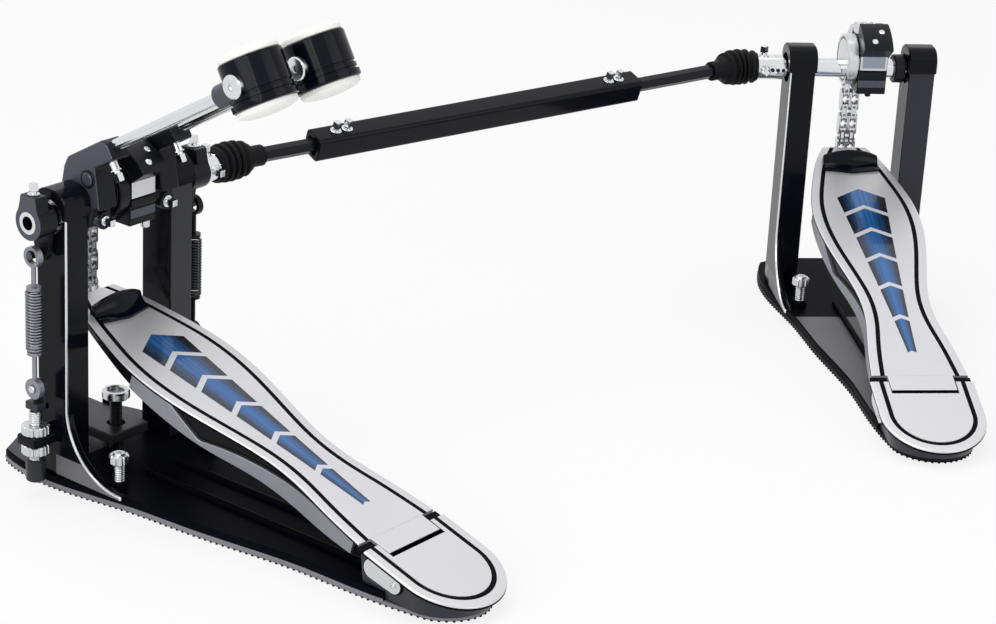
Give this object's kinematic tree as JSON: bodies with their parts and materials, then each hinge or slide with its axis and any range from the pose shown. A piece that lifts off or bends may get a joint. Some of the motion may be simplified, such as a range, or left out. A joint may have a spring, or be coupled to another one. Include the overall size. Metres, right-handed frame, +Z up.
{
  "type": "double bass drum pedal",
  "caption": "Chain-drive double bass drum pedal: main pedal with beaters and return springs, joined by a jointed telescopic driveshaft to a second footboard.",
  "frame": {"origin": "on the floor, under the middle of the main axle", "axes": "+Z up, +Y from the heel to the drum on the main pedal, +X along the main axle towards the second pedal"},
  "size_m": [0.7394, 0.4566, 0.3172],
  "materials": {
    "mat_rubber": "matt",
    "black_steel": "gloss",
    "black_alloy": "gloss black paint",
    "silver_alloy": "satin",
    "black_plastic": "semi-gloss",
    "bright_steel": "bright plated",
    "spring_steel": "dark",
    "clamp_grey": "satin",
    "beater_black": "gloss",
    "beater_white": "matt"
  },
  "bodies": {
    "frame": {"main_rubber_mat": "mat_rubber", "main_base_plate": "black_steel", "main_posts": "black_alloy", "main_bearing_caps": "black_alloy", "main_heel_plate": "silver_alloy", "main_hinge_pin": "bright_steel", "main_spurs": "bright_steel", "spring_tensioners": "bright_steel", "main_boot": "mat_rubber"},
    "main_footboard": {"main_footboard": "silver_alloy", "main_toe_bracket": "black_plastic"},
    "main_chain": {"main_chain_run": "bright_steel"},
    "main_link_1": {"main_chain_link_1": "bright_steel"},
    "main_link_2": {"main_chain_link_2": "bright_steel"},
    "main_link_3": {"main_chain_link_3": "bright_steel"},
    "main_axle": {"main_axle": "bright_steel", "main_drive_cam": "black_alloy", "main_chain_wrap": "bright_steel", "main_hub": "black_alloy", "main_rocker": "black_alloy", "main_screws": "bright_steel"},
    "main_beater": {"main_beater_rod": "bright_steel", "main_beater_body": "beater_black", "main_beater_faces": "beater_white"},
    "second_axle": {"second_axle": "bright_steel", "second_hub": "black_alloy", "second_rocker": "black_alloy", "second_screws": "bright_steel"},
    "second_beater": {"second_beater_rod": "bright_steel", "second_beater_body": "beater_black", "second_beater_faces": "beater_white"},
    "left_spring": {"left_spring": "spring_steel"},
    "left_spring_eye": {"left_spring_eye": "bright_steel"},
    "right_spring": {"right_spring": "spring_steel"},
    "right_spring_eye": {"right_spring_eye": "bright_steel"},
    "clamp_jaw": {"clamp_jaw": "clamp_grey"},
    "clamp_screw": {"clamp_screw": "bright_steel"},
    "driveshaft": {"drive_tube": "black_steel", "main_shaft_rod": "black_steel"},
    "main_cross": {"main_cross": "bright_steel"},
    "slave_base": {"slave_rubber_mat": "mat_rubber", "slave_base_plate": "black_steel", "slave_posts": "black_alloy", "slave_bearing_caps": "black_alloy", "slave_heel_plate": "silver_alloy", "slave_hinge_pin": "bright_steel", "slave_spurs": "bright_steel", "slave_boot": "mat_rubber"},
    "slave_footboard": {"slave_footboard": "silver_alloy", "slave_toe_bracket": "black_plastic"},
    "slave_chain": {"slave_chain_run": "bright_steel"},
    "slave_link_1": {"slave_chain_link_1": "bright_steel"},
    "slave_link_2": {"slave_chain_link_2": "bright_steel"},
    "slave_link_3": {"slave_chain_link_3": "bright_steel"},
    "slave_axle": {"slave_axle": "bright_steel", "slave_drive_cam": "black_alloy", "slave_chain_wrap": "bright_steel", "slave_screws": "bright_steel"},
    "slave_shaft": {"slave_shaft_rod": "black_steel"},
    "slave_cross": {"slave_cross": "bright_steel"}
  },
  "joints": [
    {"name": "main_axle_turn", "type": "hinge", "parent": "frame", "child": "main_axle", "pos_m": [0, 0, 0.18], "axis": [-1, 0, 0], "range_deg": [0, 52], "stiffness_Nm_per_rad": 1.2, "springref_deg": -17.19},
    {"name": "main_board_hinge", "type": "hinge", "parent": "frame", "child": "main_footboard", "pos_m": [0, -0.243, 0.025], "axis": [-1, 0, 0], "range_deg": [0, 5.55]},
    {"name": "main_chain_foot", "type": "hinge", "parent": "main_footboard", "child": "main_chain", "pos_m": [0.003, 0.03, 0.1038], "axis": [-1, 0, 0], "range_deg": [-8.07, 0]},
    {"name": "main_chain_pin_1", "type": "hinge", "parent": "main_chain", "child": "main_link_1", "pos_m": [0.003, 0.03, 0.18], "axis": [-1, 0, 0], "range_deg": [0, 9.27]},
    {"name": "main_chain_pin_2", "type": "hinge", "parent": "main_link_1", "child": "main_link_2", "pos_m": [0.003, 0.02849, 0.1894], "axis": [-1, 0, 0], "range_deg": [0, 18.37]},
    {"name": "main_chain_pin_3", "type": "hinge", "parent": "main_link_2", "child": "main_link_3", "pos_m": [0.003, 0.0241, 0.19786], "axis": [-1, 0, 0], "range_deg": [0, 18.26]},
    {"name": "second_axle_turn", "type": "hinge", "parent": "frame", "child": "second_axle", "pos_m": [0, 0, 0.18], "axis": [-1, 0, 0], "range_deg": [0, 47.84], "stiffness_Nm_per_rad": 1.2, "springref_deg": -17.19},
    {"name": "slave_axle_turn", "type": "hinge", "parent": "slave_base", "child": "slave_axle", "pos_m": [0.5928, -0.1656, 0.18], "axis": [-0.7186, 0.6954, 0], "range_deg": [0, 52.02]},
    {"name": "slave_board_hinge", "type": "hinge", "parent": "slave_base", "child": "slave_footboard", "pos_m": [0.42381, -0.34023, 0.025], "axis": [-0.7186, 0.6954, 0], "range_deg": [0, 5.55]},
    {"name": "slave_chain_foot", "type": "hinge", "parent": "slave_footboard", "child": "slave_chain", "pos_m": [0.61582, -0.14613, 0.1038], "axis": [-0.7186, 0.6954, 0], "range_deg": [-8.07, 0]},
    {"name": "slave_chain_pin_1", "type": "hinge", "parent": "slave_chain", "child": "slave_link_1", "pos_m": [0.61582, -0.14613, 0.18], "axis": [-0.7186, 0.6954, 0], "range_deg": [0, 9.27]},
    {"name": "slave_chain_pin_2", "type": "hinge", "parent": "slave_link_1", "child": "slave_link_2", "pos_m": [0.61477, -0.14721, 0.1894], "axis": [-0.7186, 0.6954, 0], "range_deg": [0, 18.37]},
    {"name": "slave_chain_pin_3", "type": "hinge", "parent": "slave_link_2", "child": "slave_link_3", "pos_m": [0.61172, -0.15036, 0.19786], "axis": [-0.7186, 0.6954, 0], "range_deg": [0, 18.26]},
    {"name": "main_beater_slide", "type": "slide", "parent": "main_axle", "child": "main_beater", "axis": [0, -0.8625, 0.506], "range_m": [-0.012, 0.022]},
    {"name": "second_beater_slide", "type": "slide", "parent": "second_axle", "child": "second_beater", "axis": [0, -0.8625, 0.506], "range_m": [-0.012, 0.022]},
    {"name": "left_spring_tilt", "type": "hinge", "parent": "frame", "child": "left_spring", "pos_m": [-0.0685, 0, 0.071], "axis": [1, 0, 0], "range_deg": [0, 10.38]},
    {"name": "left_spring_stretch", "type": "slide", "parent": "left_spring", "child": "left_spring_eye", "axis": [0, 0, 1], "range_m": [0, 0.00992], "deforming": ["left_spring"]},
    {"name": "right_spring_tilt", "type": "hinge", "parent": "frame", "child": "right_spring", "pos_m": [0.0685, 0, 0.071], "axis": [1, 0, 0], "range_deg": [0, 9.56]},
    {"name": "right_spring_stretch", "type": "slide", "parent": "right_spring", "child": "right_spring_eye", "axis": [0, 0, 1], "range_m": [0, 0.00913], "deforming": ["right_spring"]},
    {"name": "clamp_screw_turn", "type": "hinge", "parent": "frame", "child": "clamp_screw", "pos_m": [0, 0, 0.044], "axis": [0, 0, 1], "range_deg": [0, 1080]},
    {"name": "clamp_jaw_pivot", "type": "hinge", "parent": "frame", "child": "clamp_jaw", "pos_m": [0, 0.024, 0.0235], "axis": [-1, 0, 0], "range_deg": [0, 9.75]},
    {"name": "pedal_spacing", "type": "slide", "parent": "frame", "child": "slave_base", "axis": [0.9728, -0.2318, 0], "range_m": [-0.04, 0.06]},
    {"name": "driveshaft_turn", "type": "hinge", "parent": "frame", "child": "driveshaft", "pos_m": [0.098, 0, 0.18], "axis": [-0.9728, 0.2318, 0], "range_deg": [0, 47.08]},
    {"name": "slave_shaft_turn", "type": "hinge", "parent": "slave_base", "child": "slave_shaft", "pos_m": [0.52741, -0.10232, 0.18], "axis": [-0.9728, 0.2318, 0], "range_deg": [0, 47.08]},
    {"name": "main_cross_pivot", "type": "hinge", "parent": "second_axle", "child": "main_cross", "pos_m": [0.098, 0, 0.18], "axis": [0, 0, 1], "range_deg": [0, 4.28]},
    {"name": "slave_cross_pivot", "type": "hinge", "parent": "slave_axle", "child": "slave_cross", "pos_m": [0.52741, -0.10232, 0.18], "axis": [0, 0, 1], "range_deg": [-10.63, 0]}
  ],
  "couplings": [
    {"joint": "main_board_hinge", "follows": "main_axle_turn", "ratio": 0.1064},
    {"joint": "main_chain_foot", "follows": "main_axle_turn", "ratio": -0.1549},
    {"joint": "main_chain_pin_1", "follows": "main_axle_turn", "ratio": 0.1778},
    {"joint": "main_chain_pin_2", "follows": "main_axle_turn", "ratio": 0.3529},
    {"joint": "main_chain_pin_3", "follows": "main_axle_turn", "ratio": 0.3507},
    {"joint": "slave_axle_turn", "follows": "second_axle_turn", "ratio": 1.087},
    {"joint": "slave_board_hinge", "follows": "second_axle_turn", "ratio": 0.1157},
    {"joint": "slave_chain_foot", "follows": "second_axle_turn", "ratio": -0.1684},
    {"joint": "slave_chain_pin_1", "follows": "second_axle_turn", "ratio": 0.1933},
    {"joint": "slave_chain_pin_2", "follows": "second_axle_turn", "ratio": 0.3836},
    {"joint": "slave_chain_pin_3", "follows": "second_axle_turn", "ratio": 0.3812},
    {"joint": "left_spring_tilt", "follows": "main_axle_turn", "ratio": 0.1993},
    {"joint": "left_spring_stretch", "follows": "main_axle_turn", "m_per_rad": 0.010913},
    {"joint": "right_spring_tilt", "follows": "second_axle_turn", "ratio": 0.1993},
    {"joint": "right_spring_stretch", "follows": "second_axle_turn", "m_per_rad": 0.010913},
    {"joint": "clamp_jaw_pivot", "follows": "clamp_screw_turn", "ratio": 0.009},
    {"joint": "driveshaft_turn", "follows": "second_axle_turn", "ratio": 0.9837},
    {"joint": "slave_shaft_turn", "follows": "second_axle_turn", "ratio": 0.9837},
    {"joint": "main_cross_pivot", "follows": "second_axle_turn", "ratio": 0.0891},
    {"joint": "slave_cross_pivot", "follows": "second_axle_turn", "ratio": -0.2217}
  ]
}
